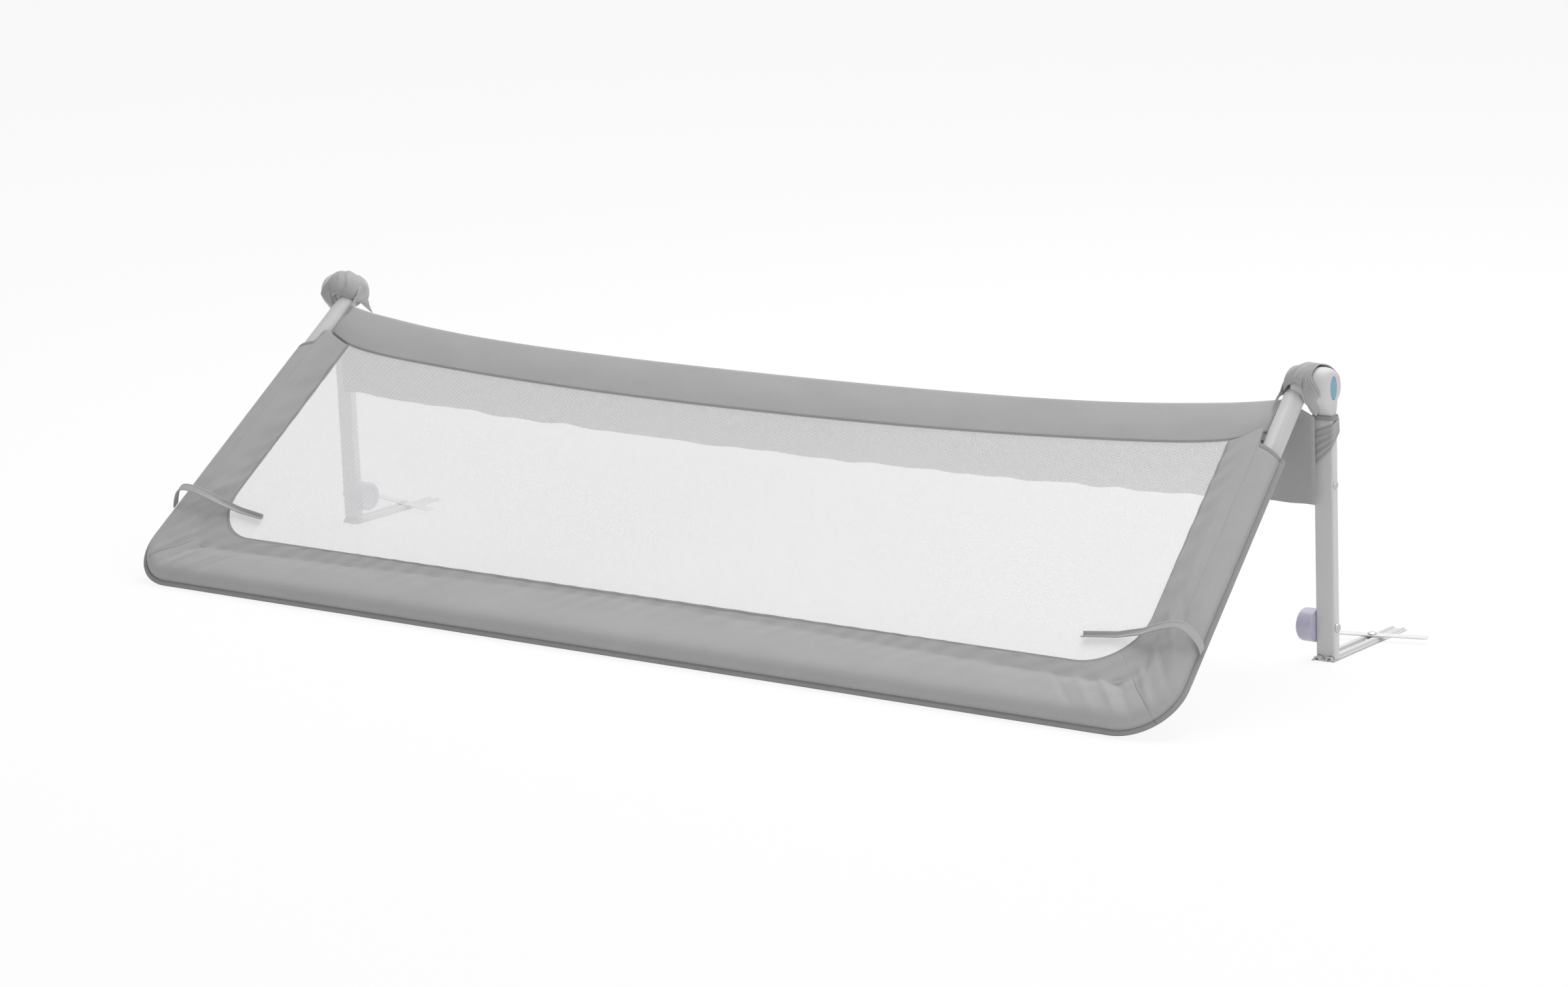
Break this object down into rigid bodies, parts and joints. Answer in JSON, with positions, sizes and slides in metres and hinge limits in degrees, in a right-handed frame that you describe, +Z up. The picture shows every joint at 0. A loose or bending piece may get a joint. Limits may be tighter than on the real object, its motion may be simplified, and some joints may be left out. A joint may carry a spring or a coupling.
{
  "type": "folding bed guard rail",
  "caption": "Folding bed guard rail: two flat-tube uprights on ribbed feet carry a fabric-covered mesh guard frame between lock hinges with push buttons.",
  "frame": {"origin": "middle of the bounding box in X and Y, on the ground", "axes": "+X along the rail, +Y from the guard back over the feet, +Z up"},
  "size_m": [1.5976, 0.5482, 0.3353],
  "materials": {
    "grey_steel": "satin paint",
    "strip_steel": "satin paint",
    "zinc_steel": "zinc plated",
    "hinge_plastic": "satin",
    "blue_plastic": "satin",
    "knob_plastic": "slightly clear, smooth",
    "cover_fabric": "plain weave",
    "window_mesh": "open knit"
  },
  "bodies": {
    "left_upright": {"left_upright_tube": "grey_steel", "left_hinge_housing": "hinge_plastic", "left_hinge_pin": "zinc_steel", "left_upper_screw": "zinc_steel", "left_through_bolt": "zinc_steel", "left_upright_wrap": "cover_fabric", "left_hinge_hood": "cover_fabric", "back_skirt": "cover_fabric"},
    "left_foot": {"left_foot_rail": "grey_steel", "left_foot_doubler": "grey_steel", "left_foot_post": "grey_steel", "left_swivel_rivet": "zinc_steel", "left_sheet_rivet": "zinc_steel"},
    "left_strip": {"left_cross_strip": "strip_steel"},
    "left_knob": {"left_clamp_knob": "knob_plastic"},
    "left_button": {"left_release_button": "blue_plastic"},
    "left_gear": {"left_lock_gear": "hinge_plastic"},
    "left_snap": {"left_snap_button": "zinc_steel"},
    "right_upright": {"right_upright_tube": "grey_steel", "right_hinge_housing": "hinge_plastic", "right_hinge_pin": "zinc_steel", "right_upper_screw": "zinc_steel", "right_through_bolt": "zinc_steel", "right_upright_wrap": "cover_fabric", "right_hinge_hood": "cover_fabric"},
    "right_foot": {"right_foot_rail": "grey_steel", "right_foot_doubler": "grey_steel", "right_foot_post": "grey_steel", "right_swivel_rivet": "zinc_steel", "right_sheet_rivet": "zinc_steel"},
    "right_strip": {"right_cross_strip": "strip_steel"},
    "right_knob": {"right_clamp_knob": "knob_plastic"},
    "right_button": {"right_release_button": "blue_plastic"},
    "right_gear": {"right_lock_gear": "hinge_plastic"},
    "right_snap": {"right_snap_button": "zinc_steel"},
    "guard": {"left_leg_end": "hinge_plastic", "right_leg_end": "hinge_plastic", "left_leg_tube": "grey_steel", "right_leg_tube": "grey_steel", "left_lock_spring": "zinc_steel", "right_lock_spring": "zinc_steel", "left_connector": "grey_steel", "right_connector": "grey_steel", "left_leg_sleeve": "cover_fabric", "right_leg_sleeve": "cover_fabric", "left_tie_strap": "cover_fabric", "right_tie_strap": "cover_fabric", "crossbar_tube": "grey_steel", "bottom_sleeve": "cover_fabric", "hinge_band": "cover_fabric", "window_net": "window_mesh"}
  },
  "joints": [
    {"name": "fold_left", "type": "hinge", "parent": "left_upright", "child": "guard", "pos_m": [-0.722, 0.1121, 0.31], "axis": [-1, 0, 0], "range_deg": [-38.57, 128.57], "deforming": ["back_skirt", "hinge_band", "left_upright_wrap", "right_upright_wrap", "left_hinge_hood", "right_hinge_hood"]},
    {"name": "fold_right", "type": "hinge", "parent": "guard", "child": "right_upright", "pos_m": [0.722, 0.1121, 0.31], "axis": [1, 0, 0], "range_deg": [-38.57, 128.57]},
    {"name": "button_left", "type": "slide", "parent": "left_upright", "child": "left_button", "axis": [-1, 0, 0], "range_m": [0, 0.0045]},
    {"name": "gear_left", "type": "slide", "parent": "guard", "child": "left_gear", "axis": [-1, 0, 0], "range_m": [0, 0.0045], "deforming": ["left_lock_spring"]},
    {"name": "foot_left_height", "type": "slide", "parent": "left_upright", "child": "left_foot", "axis": [0, 0, -1], "range_m": [0, 0.025]},
    {"name": "strip_left_swivel", "type": "hinge", "parent": "left_foot", "child": "left_strip", "pos_m": [-0.736, 0.2151, 0.007], "axis": [0, 0, -1], "range_deg": [-30, 75]},
    {"name": "knob_left_turn", "type": "hinge", "parent": "left_upright", "child": "left_knob", "pos_m": [-0.714, 0.1171, 0.038], "axis": [-1, 0, 0], "range_deg": [-360, 0]},
    {"name": "snap_left_press", "type": "slide", "parent": "guard", "child": "left_snap", "axis": [0, -0.6235, 0.7818], "range_m": [0, 0.003]},
    {"name": "button_right", "type": "slide", "parent": "right_upright", "child": "right_button", "axis": [1, 0, 0], "range_m": [0, 0.0045]},
    {"name": "gear_right", "type": "slide", "parent": "guard", "child": "right_gear", "axis": [1, 0, 0], "range_m": [0, 0.0045], "deforming": ["right_lock_spring"]},
    {"name": "foot_right_height", "type": "slide", "parent": "right_upright", "child": "right_foot", "axis": [0, 0, -1], "range_m": [0, 0.025]},
    {"name": "strip_right_swivel", "type": "hinge", "parent": "right_foot", "child": "right_strip", "pos_m": [0.736, 0.2151, 0.007], "axis": [0, 0, 1], "range_deg": [-30, 75]},
    {"name": "knob_right_turn", "type": "hinge", "parent": "right_upright", "child": "right_knob", "pos_m": [0.714, 0.1171, 0.038], "axis": [1, 0, 0], "range_deg": [-360, 0]},
    {"name": "snap_right_press", "type": "slide", "parent": "guard", "child": "right_snap", "axis": [0, -0.6235, 0.7818], "range_m": [0, 0.003]}
  ],
  "couplings": [
    {"joint": "fold_right", "follows": "fold_left", "ratio": 1},
    {"joint": "gear_left", "follows": "button_left", "ratio": 1},
    {"joint": "gear_right", "follows": "button_right", "ratio": 1}
  ]
}
